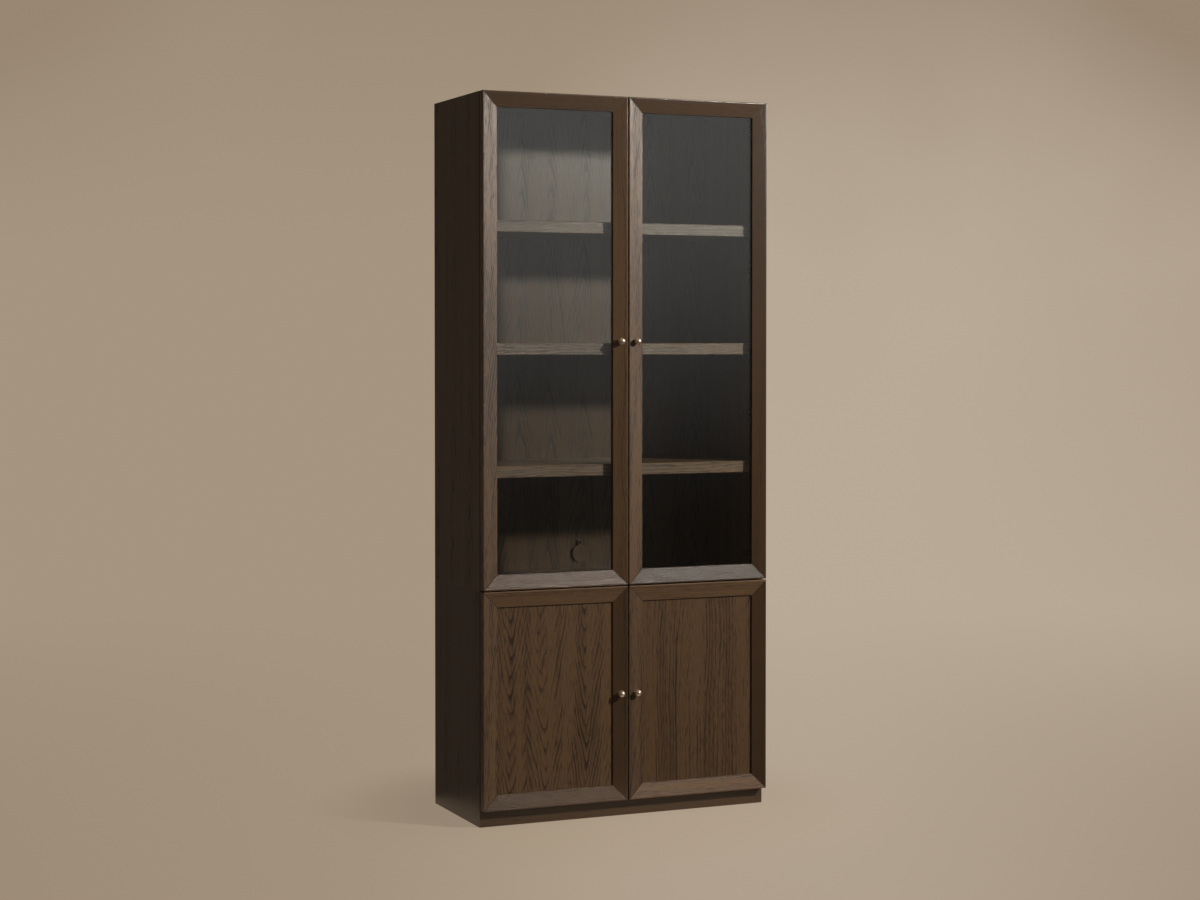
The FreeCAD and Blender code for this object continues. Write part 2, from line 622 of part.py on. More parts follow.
def knob(name, bottom, height):
    """A turned brass ball on a neck and a round foot, with a stud that screws into the stile."""
    turned = new_body(name, f"-Sizes.meeting_gap / 2 - Sizes.knob_inset",
                      "Places.door_front + Sizes.knob_seat_depth", f"{bottom} + {height} / 2")
    foot, neck, stud = "Sizes.knob_foot_radius", "Sizes.knob_neck_radius", "Sizes.knob_stud_radius"
    rise, middle = "Sizes.knob_foot_height", "Sizes.knob_stand + Sizes.knob_seat_depth - Sizes.knob_radius"
    sketch = new_sketch(turned, "XY_Plane")
    outline(sketch, (("0", "Sizes.knob_stud_length"), (stud, "Sizes.knob_stud_length"), (stud, "0"),
                     (foot, "0"), (foot, f"-{rise} / 2"), (neck, f"-{rise}"),
                     (neck, f"-({middle})"), ("0", f"-({middle})")))
    revolve(turned, sketch)
    ball = turned.newObject("PartDesign::AdditiveSphere", name + "_ball")
    ball.setExpression("Radius", "Sizes.knob_radius")
    ball.setExpression("AttachmentOffset.Base.z", middle)
    plane = next(p for p in turned.Origin.OriginFeatures if p.Role == "XZ_Plane")
    ball.AttachmentSupport = [(plane, "")]
    ball.MapMode = "FlatFace"
    parts[name] = turned


# ---------------------------------------------------------------- concealed hinges
# Each hinge is drawn about its own middle, from the outer edge and the back face of a closed
# left-hand door. The cup and its flange ride on the door, the mounting plate and arm on the case.
# A cranked link joins them: it turns on a rivet in the arm and reaches over the rim of the cup.

def hinge_cup():
    """A pressed cup with a flat flange that lies on the back of the door."""
    cup = new_body("hinge_cup")
    outside, sheet, rim = "Sizes.cup_radius", "Sizes.cup_sheet", "Sizes.cup_flange"
    floor = "Sizes.cup_depth"
    sketch = new_sketch(cup, "XY_Plane", shift="Sizes.cup_inset")
    outline(sketch, (("0", f"-{floor}"), (outside, f"-{floor}"), (outside, rim),
                     (f"{outside} - {sheet}", rim), (f"{outside} - {sheet}", f"{sheet} - {floor}"),
                     ("0", f"{sheet} - {floor}")))
    revolve(cup, sketch)
    sketch = new_sketch(cup, "XZ_Plane", shift="Sizes.cup_inset")
    rectangle(sketch, "0", outside, "-Sizes.cup_wing", "Sizes.cup_wing")
    add(cup, "Pad", sketch, rim, turned=True)
    sketch = new_sketch(cup, "XZ_Plane", shift="Sizes.cup_inset")
    circle(sketch, "0", "0", f"{outside} - {sheet}")
    add(cup, "Pocket", sketch)
    return cup


def hinge_plate():
    """A mounting plate: two wings for its screws and a raised body that the arm clips over."""
    plate = new_body("hinge_plate")
    face, line = "Places.side_face", "Sizes.door_gap + Sizes.plate_line"
    sketch = new_sketch(plate, "YZ_Plane", offset=face)
    rectangle(sketch, f"{line} - Sizes.plate_width / 2", f"{line} + Sizes.plate_width / 2",
              "-Sizes.plate_wing", "Sizes.plate_wing")
    add(plate, "Pad", sketch, "Sizes.plate_sheet")
    sketch = new_sketch(plate, "YZ_Plane", offset=face)
    half = "Sizes.arm_width / 2 - Sizes.arm_sheet - Sizes.plate_play"
    rectangle(sketch, "Sizes.door_gap + Sizes.plate_body_front",
              "Sizes.door_gap + Sizes.plate_body_back", f"-({half})", half)
    add(plate, "Pad", sketch, "Sizes.arm_top - Sizes.arm_sheet")
    return plate


def hinge_arm():
    """A pressed channel over the plate, whose two cheeks carry the rivet at the front."""
    arm = new_body("hinge_arm")
    foot, top = "Places.side_face + Sizes.arm_foot", "Places.side_face + Sizes.arm_top"
    back, nose = "Sizes.door_gap + Sizes.arm_reach", "Sizes.pivot_back - Sizes.link_eye - Sizes.arm_sheet"
    sketch = new_sketch(arm, "XY_Plane")
    outline(sketch, ((foot, f"{nose} + Sizes.arm_sheet"), (f"{foot} + Sizes.arm_sheet", nose),
                     (f"{top} - Sizes.link_eye", nose), (top, "Sizes.pivot_back"),
                     (top, f"{back} - Sizes.arm_foot"), (f"{top} - Sizes.arm_foot", back),
                     (foot, back)))
    add(arm, "Pad", sketch, "Sizes.arm_width", both_ways=True)
    sketch = new_sketch(arm, "XY_Plane")
    rectangle(sketch, "0", f"{top} - Sizes.arm_sheet", "0", f"{back} - Sizes.arm_sheet")
    add(arm, "Pocket", sketch, "Sizes.arm_width - 2 * Sizes.arm_sheet", both_ways=True)
    sketch = new_sketch(arm, "XY_Plane")
    circle(sketch, "Places.pivot_x", "Sizes.pivot_back", "Sizes.link_pin_radius")
    add(arm, "Pad", sketch, "Sizes.arm_width", both_ways=True)
    return arm


def hinge_link():
    """A cranked strip with an eye at the arm end and a rivet at the cup end."""
    spine = doc.addObject("Sketcher::SketchObject", "link_spine")
    corners = (("Sizes.link_bore_x", "-Sizes.link_bore_y"), ("Sizes.link_elbow_x", "-Sizes.link_elbow_y"),
               ("Places.pivot_x", "Sizes.pivot_back"))
    rivet, elbow, pivot = (Vector(*(float(spine.evalExpression(c)) for c in corner), 0)
                           for corner in corners)
    spine.addGeometry([Part.LineSegment(rivet, elbow), Part.LineSegment(elbow, pivot)])
    spine.addConstraint(Sketcher.Constraint("Coincident", 0, 2, 1, 1))
    for line, end, (x, y) in zip((0, 0, 1), (1, 2, 2), corners):
        hold(spine, "DistanceX", -1, 1, line, end, at=x)
        hold(spine, "DistanceY", -1, 1, line, end, at=y)
    spine.fillet(0, 2, float(spine.evalExpression("Sizes.link_bend")), True, True)
    hold(spine, "Radius", 2, at="Sizes.link_bend")

    strip = doc.addObject("Part::Offset2D", "link_strip")
    strip.Source = spine
    strip.Fill = True
    strip.setExpression("Value", "Sizes.link_sheet / 2")
    blade = doc.addObject("Part::Extrusion", "link_blade")
    blade.Base = strip
    blade.Dir = Vector(0, 0, 1)
    blade.Symmetric = True
    blade.Solid = True
    blade.setExpression("LengthFwd", "Sizes.link_width")

    def post(name, spot, radius, length):
        """An upright cylinder, level with the middle of the hinge."""
        pole = doc.addObject("Part::Cylinder", name)
        pole.setExpression("Radius", radius)
        pole.setExpression("Height", length)
        place(pole, *spot, f"-({length}) / 2")
        return pole

    solid = doc.addObject("Part::MultiFuse", "link_solid")
    solid.Refine = True
    solid.Shapes = [blade, post("link_eye", corners[2], "Sizes.link_eye", "Sizes.link_width"),
                    post("link_rivet", corners[0], "Sizes.link_pin_radius", "Sizes.link_pin_length")]
    link = doc.addObject("Part::Cut", "hinge_link")
    link.Refine = True
    link.Base = solid
    link.Tool = post("link_hole", corners[2], "Sizes.link_pin_radius + Sizes.link_play",
                     "2 * Sizes.link_width")
    return link


def hinge_spots(bottom, height, count):
    """Places of a left-hand door's hinges."""
    return [("Places.door_edge", "Places.door_back", f"{bottom} + {spot}")
            for spot in hinge_heights(height, count)]


# ---------------------------------------------------------------- the cabinet, from the floor up

plinth()
base_pins, upper_pins = shelf_undersides()
case_side("base_side_left", "Sizes.plinth_height", "Places.base_height", base_pins)
case_side("upper_side_left", "Sizes.seam_height", "Places.upper_height", upper_pins)
deck("base_bottom", "Sizes.plinth_height", groove_up=True, bolted=False)
deck("base_top", "Sizes.seam_height - Sizes.deck_thickness", groove_up=False, bolted=True)
deck("upper_bottom", "Sizes.seam_height", groove_up=True, bolted=True)
deck("upper_top", "Sizes.overall_height - Sizes.deck_thickness", groove_up=False, bolted=False)
back_panel("base_back", "Sizes.plinth_height", "Places.base_height")
upper_back()
wall_rail()
shelf("base_shelf", "Sizes.base_shelf_thickness")
for shelf_name in SHELVES:
    shelf(shelf_name, "Sizes.shelf_thickness")
shelf_pins()
connector_bolts()
cable_cover()
bumpers()

cup, plate, arm, link = hinge_cup(), hinge_plate(), hinge_arm(), hinge_link()
BEAD_OUTLINE = (("Places.rebate_edge", "Places.bead_front"),
                ("Sizes.frame_width", "Places.bead_front"),
                ("Sizes.frame_width", "Sizes.door_thickness - Sizes.bead_bevel"),
                ("Sizes.frame_width - Sizes.bead_bevel", "Sizes.door_thickness"),
                ("Places.rebate_edge", "Sizes.door_thickness"))
case_spots = []
for level, hinge_count in (("upper", UPPER_HINGES), ("lower", LOWER_HINGES)):
    glazed = level == "upper"
    prefix = level + "_left"
    bottom, height = f"Places.{level}_door_bottom", f"Places.{level}_door_height"
    frame = door_ring(prefix, frame_outline(grooved=not glazed), bottom, height)
    bore_hinge_stile(frame["hinge_stile"], height, hinge_count)
    bore_meeting_stile(frame["meeting_stile"], height)
    parts.update({f"{prefix}_{member}": body for member, body in frame.items()})
    if glazed:
        infill(prefix + "_glass", bottom, height, "Sizes.glass_thickness")
        group(prefix + "_glass_beads",
              list(door_ring("bead", BEAD_OUTLINE, bottom, height).values()))
    else:
        infill(prefix + "_panel", bottom, height, "Sizes.door_panel_thickness")
    knob(prefix + "_knob", bottom, height)
    spots = hinge_spots(bottom, height, hinge_count)
    group(prefix + "_hinge_cups", copies(cup, spots))
    group(prefix + "_hinge_links", copies(link, spots))
    case_spots += spots
    for left_name in [name for name in parts if name.startswith(prefix)]:
        both_sides(left_name)
for node, piece in (("hinge_plates", plate), ("hinge_arms", arm)):
    left = doc.addObject("Part::Compound", "left_" + node)
    left.Links = copies(piece, case_spots)
    group(node, [left, mirrored(left, "right_" + node)])

# ---------------------------------------------------------------- check and write

doc.recompute()
for thing in doc.Objects:
    if {"Invalid", "Error"} & set(thing.State):
        raise RuntimeError(f"{thing.Name} failed: {thing.State}")
os.makedirs("parts", exist_ok=True)
for node, piece in parts.items():
    piece.Label = node
    shape = piece.Shape
    if shape.isNull() or not shape.isValid() or not shape.Solids:
        raise RuntimeError(f"{node} has no valid solid")
    shape.exportStep(f"parts/{node}.step")
print(len(parts), "nodes,", sum(len(piece.Shape.Solids) for piece in parts.values()), "solids")
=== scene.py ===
import math

import bmesh
import bpy
from mathutils import Matrix, Vector


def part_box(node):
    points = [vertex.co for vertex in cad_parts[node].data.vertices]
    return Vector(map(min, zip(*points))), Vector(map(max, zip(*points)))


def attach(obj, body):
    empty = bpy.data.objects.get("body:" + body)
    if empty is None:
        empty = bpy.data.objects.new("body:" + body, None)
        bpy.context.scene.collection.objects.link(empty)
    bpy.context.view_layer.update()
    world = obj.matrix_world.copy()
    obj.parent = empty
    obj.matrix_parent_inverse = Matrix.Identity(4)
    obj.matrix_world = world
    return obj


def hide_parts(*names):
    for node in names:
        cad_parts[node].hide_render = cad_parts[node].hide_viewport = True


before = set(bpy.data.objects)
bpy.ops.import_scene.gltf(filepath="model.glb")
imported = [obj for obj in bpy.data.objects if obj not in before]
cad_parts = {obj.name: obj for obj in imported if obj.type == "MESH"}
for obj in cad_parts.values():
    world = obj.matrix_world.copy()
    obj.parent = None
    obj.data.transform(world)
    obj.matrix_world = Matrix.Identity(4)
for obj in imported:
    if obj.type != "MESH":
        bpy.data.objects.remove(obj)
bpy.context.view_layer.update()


# The plinth: four oak boards set back under the base case, butted at the corners. Like all the
# woodwork it is open-grained oak, brushed, stained a deep brown and finished with a satin oil.

class Tone:
    """One value or colour that changes over a surface."""

    def __init__(self, tree, socket):
        self.tree = tree
        self.socket = socket

    def node(self, kind, settings, sockets, out=0):
        """An outlet of a new node of this kind."""
        made = self.tree.nodes.new(kind)
        for name, value in settings.items():
            setattr(made, name, value)
        for name, value in sockets.items():
            if isinstance(value, Tone):
                self.tree.links.new(value.socket, made.inputs[name])
            else:
                made.inputs[name].default_value = value
        return Tone(self.tree, made.outputs[out])

    def other(self, out):
        """Another outlet of the same node."""
        return Tone(self.tree, self.socket.node.outputs[out])

    def maths(self, operation, first, second=0.0, clamp=False):
        """What a Math node makes of one or two values."""
        return self.node("ShaderNodeMath", {"operation": operation, "use_clamp": clamp},
                         {0: first, 1: second})

    def __add__(self, more):
        return self.maths("ADD", self, more)

    __radd__ = __add__

    def __sub__(self, less):
        return self.maths("SUBTRACT", self, less)

    def __rsub__(self, more):
        return self.maths("SUBTRACT", more, self)

    def __mul__(self, times):
        return self.maths("MULTIPLY", self, times)

    __rmul__ = __mul__

    def __truediv__(self, parts):
        return self.maths("DIVIDE", self, parts)

    def __rtruediv__(self, whole):
        return self.maths("DIVIDE", whole, self)

    def __pow__(self, power):
        return self.maths("POWER", self, power)

    def __rpow__(self, base):
        return self.maths("POWER", base, self)

    def __abs__(self):
        return self.maths("ABSOLUTE", self)


def new_finish(name):
    """An empty material, and the place of a point on the piece in metres."""
    finish = bpy.data.materials.new(name)
    finish.use_nodes = True
    finish.node_tree.nodes.clear()
    place = Tone(finish.node_tree, None).node("ShaderNodeTexCoord", {}, {}, "Object")
    return finish, place


def surface(shader):
    """This shader is what the material shows."""
    output = shader.tree.nodes.new("ShaderNodeOutputMaterial")
    shader.tree.links.new(shader.socket, output.inputs["Surface"])


def fade(value, start, end):
    """1 below start, 0 above end, with a soft step between them."""
    return value.node("ShaderNodeMapRange", {"interpolation_type": "SMOOTHSTEP"}, {
        "Value": value, "From Min": start, "From Max": end, "To Min": 1.0, "To Max": 0.0})


def blend(first, second, share):
    """The first colour where the share is 0, the second where it is 1."""
    return share.node("ShaderNodeMix", {"data_type": "RGBA"},
                      {0: share, 6: first, 7: second}, out=2)


def dress(finish, *nodes):
    """These pieces of the frame take this finish."""
    for node in nodes:
        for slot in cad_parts[node].material_slots:
            slot.material = finish


stain_light = (0.119, 0.0675, 0.033)
stain_deep = (0.017, 0.0075, 0.0026)
# The paler colour of an edge: partly stain thinned by wear, partly a painted highlight on the
# arris.
stain_rubbed_and_highlight = (0.24, 0.155, 0.092)
glue_line = (0.010, 0.006, 0.004, 1.0)
arris_width = 0.0016


def oak_board(node, grain, box=None, heart=0.0, ring=0.008, lean=0.0, leaf=0.0, figure=1.0,
              seed=0.0, shade=1.0, rough=0.32, thin=1.9, mitred=False):
    """Dresses this piece in stained oak. grain names the axes along the grain, across it and
    through the board, and box is what the piece and its neighbours fill, if not the piece alone.
    leaf is the width of a leaf of veneer, or 0 for a solid board, and heart the place across the
    face of the arches of the grain, or of the first leaf. ring is how far apart the lines are,
    lean how fast they close over the heart, thin how sharp and figure how strong they are. shade
    is how pale the stain is, and for the door members and the shelves it also carries painted light
    and shade for how the lamp falls on them. rough is how dull the oil. The edges are painted
    paler, partly as wear and partly as a painted highlight on the arris, more so on a mitred board,
    and a mitred board has a dark glue line at each end."""
    finish, place = new_finish("oak_" + node)
    axes = place.node("ShaderNodeSeparateXYZ", {}, {"Vector": place})
    along, across, through = (axes.other(letter) for letter in grain)

    def streaks(long, wide, detail=1.0, grit=0.5, shift=0.0):
        """Drawn-out specks, long per metre along the grain and wide per metre across it."""
        point = place.node("ShaderNodeCombineXYZ", {}, {
            0: along * long + (seed * 3.7 + shift), 1: across * wide, 2: through * wide})
        return place.node("ShaderNodeTexNoise", {"noise_dimensions": "3D"}, {
            "Vector": point, "Scale": 1.0, "Detail": detail, "Roughness": grit})

    def chance(number):
        """A value of its own for each whole number."""
        return place.node("ShaderNodeTexWhiteNoise", {"noise_dimensions": "1D"}, {"W": number})

    # The lines sway over half a metre and wiggle over a hand's width. Every leaf of veneer has an
    # arch of its own and begins at another ring.
    sway = (streaks(2.2, 6.0) - 0.5) * 0.06 + (streaks(12.0, 24.0, shift=9.0) - 0.5) * 0.008
    if leaf:
        offset = seed * 0.31
        number = place.maths("FLOOR", (across - heart) / leaf + offset)
        begin = chance(number + seed)
        side = (across - heart - (number + (0.5 - offset)) * leaf
                + (begin - 0.5) * leaf * 0.4 + sway)
    else:
        begin = sway
        side = across + through * 0.6 + sway - heart
    arch = place.maths("SQRT", side * side + 0.00012)
    count = (arch + along * lean) / ring + begin * 7 + (streaks(1.1, 30.0, shift=4.0) - 0.5) * 1.2

    # A ring begins with a line of open early wood, which holds the stain, and dies away to the
    # next. No two rings are equally strong, and broad bands of the board are quieter.
    strong = chance(place.maths("FLOOR", count))
    early = (1 - place.maths("FRACT", count)) ** thin * (strong * 0.7 + strong ** 6 * 0.9 + 0.4)
    bands = streaks(1.3, 26.0, grit=0.6, shift=5.0)
    early = early * (fade(arch, 0.008, 0.035) * 0.5 + 0.7) * (1.45 - fade(bands, 0.38, 0.62))

    # The brush opens long dashes and short fine pores, and both fill with stain.
    dashes = 1 - fade(streaks(26.0, 230.0, detail=2.0, grit=0.6, shift=2.0), 0.5, 0.6)
    pores = 1 - fade(streaks(85.0, 1500.0, shift=7.0), 0.5, 0.68)
    dark = early * (dashes * 0.5 + 0.85) + pores * (early * 0.3 + 0.08) + dashes * 0.28
    dark = place.maths("ADD", dark * figure, (bands - 0.5) * (0.2 + 0.5 * figure), clamp=True)

    # How far out a point lies along each axis, from where the arris starts. The middle one of the
    # three passes 0 only along an edge, which is painted paler, partly as wear and partly as a
    # painted highlight on the arris.
    low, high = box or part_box(node)
    out = [abs(axes.other(letter) - (start + end) / 2) - ((end - start) / 2 - arris_width)
           for letter, start, end in zip("XYZ", low, high)]
    smaller = place.maths("MINIMUM", out[0], out[1])
    larger = place.maths("MAXIMUM", out[0], out[1])
    edge = place.maths("MAXIMUM", smaller, place.maths("MINIMUM", larger, out[2]))
    # The paler edge is partly wear and partly a painted highlight, stronger on the door frames.
    wear_and_highlight = (1 - fade(edge, -0.0008, 0.001)) * (bands * 0.7 + 0.4) * (1.0 if mitred else 0.3)

    light, deep, rubbed_and_highlight = (tuple(shade * part for part in stain) + (1.0,)
                           for stain in (stain_light, stain_deep, stain_rubbed_and_highlight))
    colour = blend(blend(light, deep, dark), rubbed_and_highlight, wear_and_highlight)
    matt = dark * 0.12 + rough
    if mitred:
        joint = fade(abs(out[0] - out[2]), 0.0007, 0.0023)
        colour = blend(colour, glue_line, joint * 0.92)
        matt = matt + joint * 0.5
    relief = place.node("ShaderNodeBump", {}, {
        "Height": 1 - dark * 0.7 - pores * 0.3, "Distance": 0.0009,
        "Strength": 0.08 + 0.3 * min(figure, 1.0)})
    surface(place.node("ShaderNodeBsdfPrincipled", {}, {
        "Base Color": colour, "Roughness": matt, "Normal": relief, "Specular IOR Level": 0.7}))
    dress(finish, node)


plinth_boards = (("plinth_front", "XZY"), ("plinth_back", "XZY"),
                 ("plinth_side_left", "YZX"), ("plinth_side_right", "YZX"))
for seed, (node, grain) in enumerate(plinth_boards):
    oak_board(node, grain, heart=0.3, ring=0.006, figure=0.6, seed=seed, shade=0.82)


# The base case: two veneered side panels, a floor, a top and a thin back, glued up into a box that
# stands on the plinth, with one loose shelf behind the doors.

base_boards = (("base_side_left", "ZYX", 0.16), ("base_side_right", "ZYX", 0.16),
               ("base_bottom", "XYZ", 0.14), ("base_top", "XYZ", 0.14),
               ("base_back", "ZXY", 0.17), ("base_shelf", "XYZ", 0.14))
for seed, (node, grain, leaf) in enumerate(base_boards, start=11):
    oak_board(node, grain, ring=0.011, lean=0.1, leaf=leaf, figure=0.35, seed=seed, shade=0.82)


# The upper case stands on the base case, bolted to it from inside. It is made in the same way, and
# a rail behind its back panel takes the two screws that tie the cabinet to a wall.

upper_boards = (("upper_side_left", "ZYX", 0.16), ("upper_side_right", "ZYX", 0.16),
                ("upper_bottom", "XYZ", 0.14), ("upper_top", "XYZ", 0.14),
                ("upper_back", "ZXY", 0.13), ("wall_rail", "XZY", 0.0))
for seed, (node, grain, leaf) in enumerate(upper_boards, start=23):
    oak_board(node, grain, ring=0.012, lean=0.13, leaf=leaf, seed=seed,
              figure=0.5 if "side" in node else 0.9, shade=0.88 if "back" in node else 1.0)


# Three thick shelves of solid oak run the full width of the upper case, just behind the front of
# its sides. Their front edges are eased, and each rests on four steel pins.

# The lower shelves are painted paler: painted light that makes up for the lamp's light falling off
# lower down.
shelf_painted_light_tones = {"shelf_low": 1.95, "shelf_middle": 1.5, "shelf_high": 1.3}
for seed, (node, shade) in enumerate(shelf_painted_light_tones.items(), start=31):
    oak_board(node, "XZY", heart=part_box(node)[0].z + 0.006, lean=0.035, ring=0.010, seed=seed,
              shade=shade)


# Case bolts of turned steel with a dull nickel plating, and shelf pins of bronzed steel, each with
# a small bracket that the shelf lies on. Both have fine scratches.

def plated(name, tint, rough):
    """Plated steel of this tint, a little blotched."""
    finish, place = new_finish(name)
    fine = place.node("ShaderNodeTexNoise", {}, {"Vector": place, "Scale": 400.0, "Detail": 3.0})
    broad = place.node("ShaderNodeTexNoise", {}, {"Vector": place, "Scale": 60.0, "Detail": 1.0})
    deep = tuple(part * 0.72 for part in tint) + (1.0,)
    relief = place.node("ShaderNodeBump", {}, {
        "Height": fine, "Strength": 0.08, "Distance": 0.0002})
    surface(place.node("ShaderNodeBsdfPrincipled", {}, {
        "Base Color": blend(tint + (1.0,), deep, fade(broad, 0.35, 0.65)), "Metallic": 1.0,
        "Roughness": fine * 0.12 + rough, "Normal": relief}))
    return finish


nickel = plated("dull_nickel", (0.56, 0.54, 0.50), 0.26)
dress(nickel, "connector_bolts")
bronzed = plated("bronzed_steel", (0.05, 0.042, 0.036), 0.34)
dress(bronzed, "shelf_pins")


# The cable port's cover: a round leaf of the same oak that hangs from one steel screw by its ear
# and swings aside for a plug.

oak_board("cable_cover", "ZXY", heart=0.02, lean=0.1, seed=41)
dress(bronzed, "cable_cover_screw")


# The door frames: each of the four doors has two stiles and two rails of solid oak with a bevelled
# face, mitred and glued at the corners. The grain runs up the stiles and along the rails.

door_sides = {"lower_left": -1, "lower_right": 1, "upper_left": -1, "upper_right": 1}
# How far the arches in the left stile of a door stand in from its edge.
stile_heart = 0.024
# For the left stile, the right stile, the top rail and the bottom rail: how pale it is painted in
# each door, which is painted light and shade for how the lamp falls on it, and how much its lines
# lean, how strong they are and how dull its oil is in each case.
member_painted_light_tones = {"lower_left": (1.36, 0.70, 1.34, 1.05), "lower_right": (1.18, 0.58, 1.36, 1.75),
                 "upper_left": (1.26, 1.04, 0.80, 1.02), "upper_right": (1.30, 0.64, 0.70, 0.46)}
member_grains = {"lower": ((0.16, 1.3, 0.34), (0.004, 0.4, 0.20), (0.01, 0.7, 0.34),
                           (0.02, 0.9, 0.36)),
                 "upper": ((0.16, 1.3, 0.41), (0.004, 0.4, 0.20), (0.01, 0.4, 0.20),
                           (0.02, 0.9, 0.31))}
seed = 51
for door, side in door_sides.items():
    corners = [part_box(f"{door}_{piece}") for piece in
               ("hinge_stile", "meeting_stile", "top_rail", "bottom_rail")]
    low = Vector([min(corner[0][axis] for corner in corners) for axis in range(3)])
    high = Vector([max(corner[1][axis] for corner in corners) for axis in range(3)])
    middle = (low + high) / 2
    left, right = ("hinge_stile", "meeting_stile")[::-side]
    members = ((left, "ZXY", low.x + stile_heart), (right, "ZXY", middle.x),
               ("top_rail", "XZY", middle.z), ("bottom_rail", "XZY", middle.z))
    for (piece, grain, heart), shade, (lean, figure, rough) in zip(
            members, member_painted_light_tones[door], member_grains[door.split("_")[0]]):
        oak_board(f"{door}_{piece}", grain, box=(low, high), heart=heart, lean=lean,
                  figure=figure, seed=seed, shade=shade, rough=rough, mitred=True)
        seed += 1


# The lower doors' panels: a flat board in each, veneered with boldly figured oak, that sits loose
# in the groove of its frame. The left one is of three leaves, the right one of a single wide one.

oak_board("lower_left_panel", "ZXY", heart=-0.062, ring=0.012, lean=-0.2, leaf=0.15, figure=1.3,
          seed=3.0, shade=1.3, rough=0.28, thin=4.5)
oak_board("lower_right_panel", "ZXY", heart=0.62, ring=0.013, lean=0.015, figure=1.3, seed=8.0,
          shade=1.12, rough=0.28, thin=5.0)


# The upper doors each hold a pane of clear float glass, which thin oak beads keep in place from
# behind. The glass has a trace of green and the faint film of a wiped pane.

glass, place = new_finish("clear_float_glass")
film = place.node("ShaderNodeTexNoise", {}, {"Vector": place, "Scale": 5.0, "Detail": 3.0})
facing = place.node("ShaderNodeLayerWeight", {}, {"Blend": 0.5}, "Facing")
clear = place.node("ShaderNodeBsdfTransparent", {}, {"Color": (0.945, 0.962, 0.952, 1.0)})
sheen = place.node("ShaderNodeBsdfGlossy", {}, {"Color": (1.0, 1.0, 1.0, 1.0), "Roughness": 0.02})
surface(place.node("ShaderNodeMixShader", {}, {
    0: facing ** 5 * 0.955 + (film * 0.006 + 0.04), 1: clear, 2: sheen}))
dress(glass, "upper_left_glass", "upper_right_glass")
for seed, door in enumerate(("upper_left", "upper_right"), start=71):
    oak_board(door + "_glass_beads", "ZXY", ring=0.005, figure=0.5, seed=seed, shade=0.9)


# Concealed hinges of pressed steel, plated black: a cup let into the back of the stile, a cranked
# link, and an arm that clips over a plate on the side panel. Bright cross-headed screws hold cup
# and plate, and two more on the arm adjust the door.

black_nickel = plated("black_nickel", (0.10, 0.095, 0.09), 0.28)
for door in door_sides:
    dress(black_nickel, door + "_hinge_cups", door + "_hinge_links")
dress(black_nickel, "hinge_plates", "hinge_arms")


def mesh_object(name, shape, finish):
    """The modelled shape as an object of the scene."""
    mesh = bpy.data.meshes.new(name)
    shape.to_mesh(mesh)
    shape.free()
    mesh.materials.append(finish)
    made = bpy.data.objects.new(name, mesh)
    bpy.context.scene.collection.objects.link(made)
    return made


def fitting(name, shape, finish, body):
    """A small piece that goes with this body."""
    piece = mesh_object(name, shape, finish)
    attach(piece, body)
    return piece


def facing_out(spot, out):
    """Puts a piece that is modelled round the Z axis on this spot, with its top along out."""
    turn = Vector((0, 0, 1)).rotation_difference(Vector(out))
    return Matrix.Translation(spot) @ turn.to_matrix().to_4x4()


def circle(shape, put, radius, height, sides):
    """Corners round the axis, or a single one on it where the radius is 0."""
    angles = [2 * math.pi * k / sides for k in range(sides if radius else 1)]
    return [shape.verts.new(put @ Vector((radius * math.cos(a), radius * math.sin(a), height)))
            for a in angles]


def skin(shape, circles):
    """Smooth faces from each circle to the next."""
    for under, over in zip(circles, circles[1:]):
        for k in range(max(len(under), len(over))):
            corners = [under[k % len(under)], under[(k + 1) % len(under)],
                       over[(k + 1) % len(over)], over[k % len(over)]]
            shape.faces.new(list(dict.fromkeys(corners))).smooth = True


def pairs(loop):
    """Each corner of a closed loop with the next one."""
    return zip(loop, loop[1:] + loop[:1])


def screw_heads(spots, out, radius, rise):
    """Domed heads with a cross recess at these spots, facing along out."""
    sides = 24
    dome = ((1.0, 0.0), (1.0, 0.3), (0.93, 0.62), (0.78, 0.88), (0.62, 1.0))
    arm = radius * 0.13
    tip = radius * 0.46
    quarter = [(tip, -arm), (tip, arm), (arm, arm)]
    cross = []
    for _ in range(4):
        cross += quarter
        quarter = [(-y, x) for x, y in quarter]
    taper = 0.7
    well_floor = rise * 0.25
    shape = bmesh.new()
    for spot in spots:
        put = facing_out(spot, out)
        circles = [circle(shape, put, radius * share, rise * height, sides)
                   for share, height in dome]
        skin(shape, circles)
        rim = [shape.verts.new(put @ Vector((x, y, rise))) for x, y in cross]
        well = [shape.verts.new(put @ Vector((x * taper, y * taper, well_floor))) for x, y in cross]
        edges = [shape.edges.get(pair) for pair in pairs(circles[-1])]
        edges += [shape.edges.new(pair) for pair in pairs(rim)]
        bmesh.ops.triangle_fill(shape, use_beauty=True, edges=edges)
        for (first, second), (under, next_under) in zip(pairs(rim), pairs(well)):
            shape.faces.new((first, second, next_under, under))
        shape.faces.new(well)
        shape.faces.new(list(reversed(circles[0])))
    bmesh.ops.recalc_face_normals(shape, faces=shape.faces)
    return shape


def centre(node):
    """The middle of a piece of the frame."""
    low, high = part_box(node)
    return (low + high) / 2


